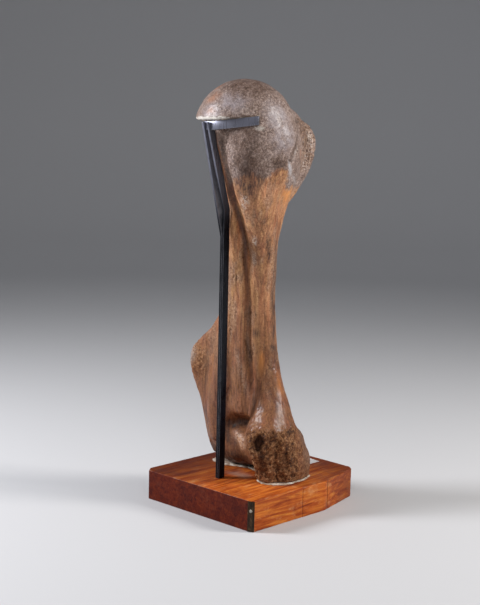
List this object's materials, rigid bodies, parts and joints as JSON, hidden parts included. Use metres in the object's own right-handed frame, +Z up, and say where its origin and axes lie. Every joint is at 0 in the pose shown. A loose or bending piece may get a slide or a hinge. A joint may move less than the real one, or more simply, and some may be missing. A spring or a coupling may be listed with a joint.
{
  "type": "fossil mammoth humerus on plinth",
  "caption": "Fossil mammoth upper foreleg bone standing on a wooden plinth, its rounded head resting on a steel strap carried by a pair of flat bars.",
  "frame": {"origin": "centre of the plinth's underside", "axes": "+Z up along the bone; -X is the back of the bone, the side its head leans to; -Y is its inner side"},
  "size_m": [0.3815, 0.3455, 0.9691],
  "materials": {
    "fossil_bone": "mineralised bone, varnished: gray-brown and finely pitted on the head, warm brown and fibrous on the shaft",
    "plinth_wood": "varnished red-brown hardwood with worn edges",
    "bronze": "dark tarnished bronze strip",
    "screw_steel": "bare round screw head",
    "black_steel": "satin black paint",
    "white_putty": "dull off-white filler",
    "paper": "plain white paper"
  },
  "bodies": {
    "root": {"humerus": "fossil_bone", "plinth": "plinth_wood", "corner_plate": "bronze", "corner_screw": "screw_steel", "support_bar_inner": "black_steel", "support_bar_outer": "black_steel", "cradle_strap": "black_steel", "putty_bed": "white_putty", "putty_bead": "white_putty", "paper_label": "paper"}
  },
  "joints": []
}
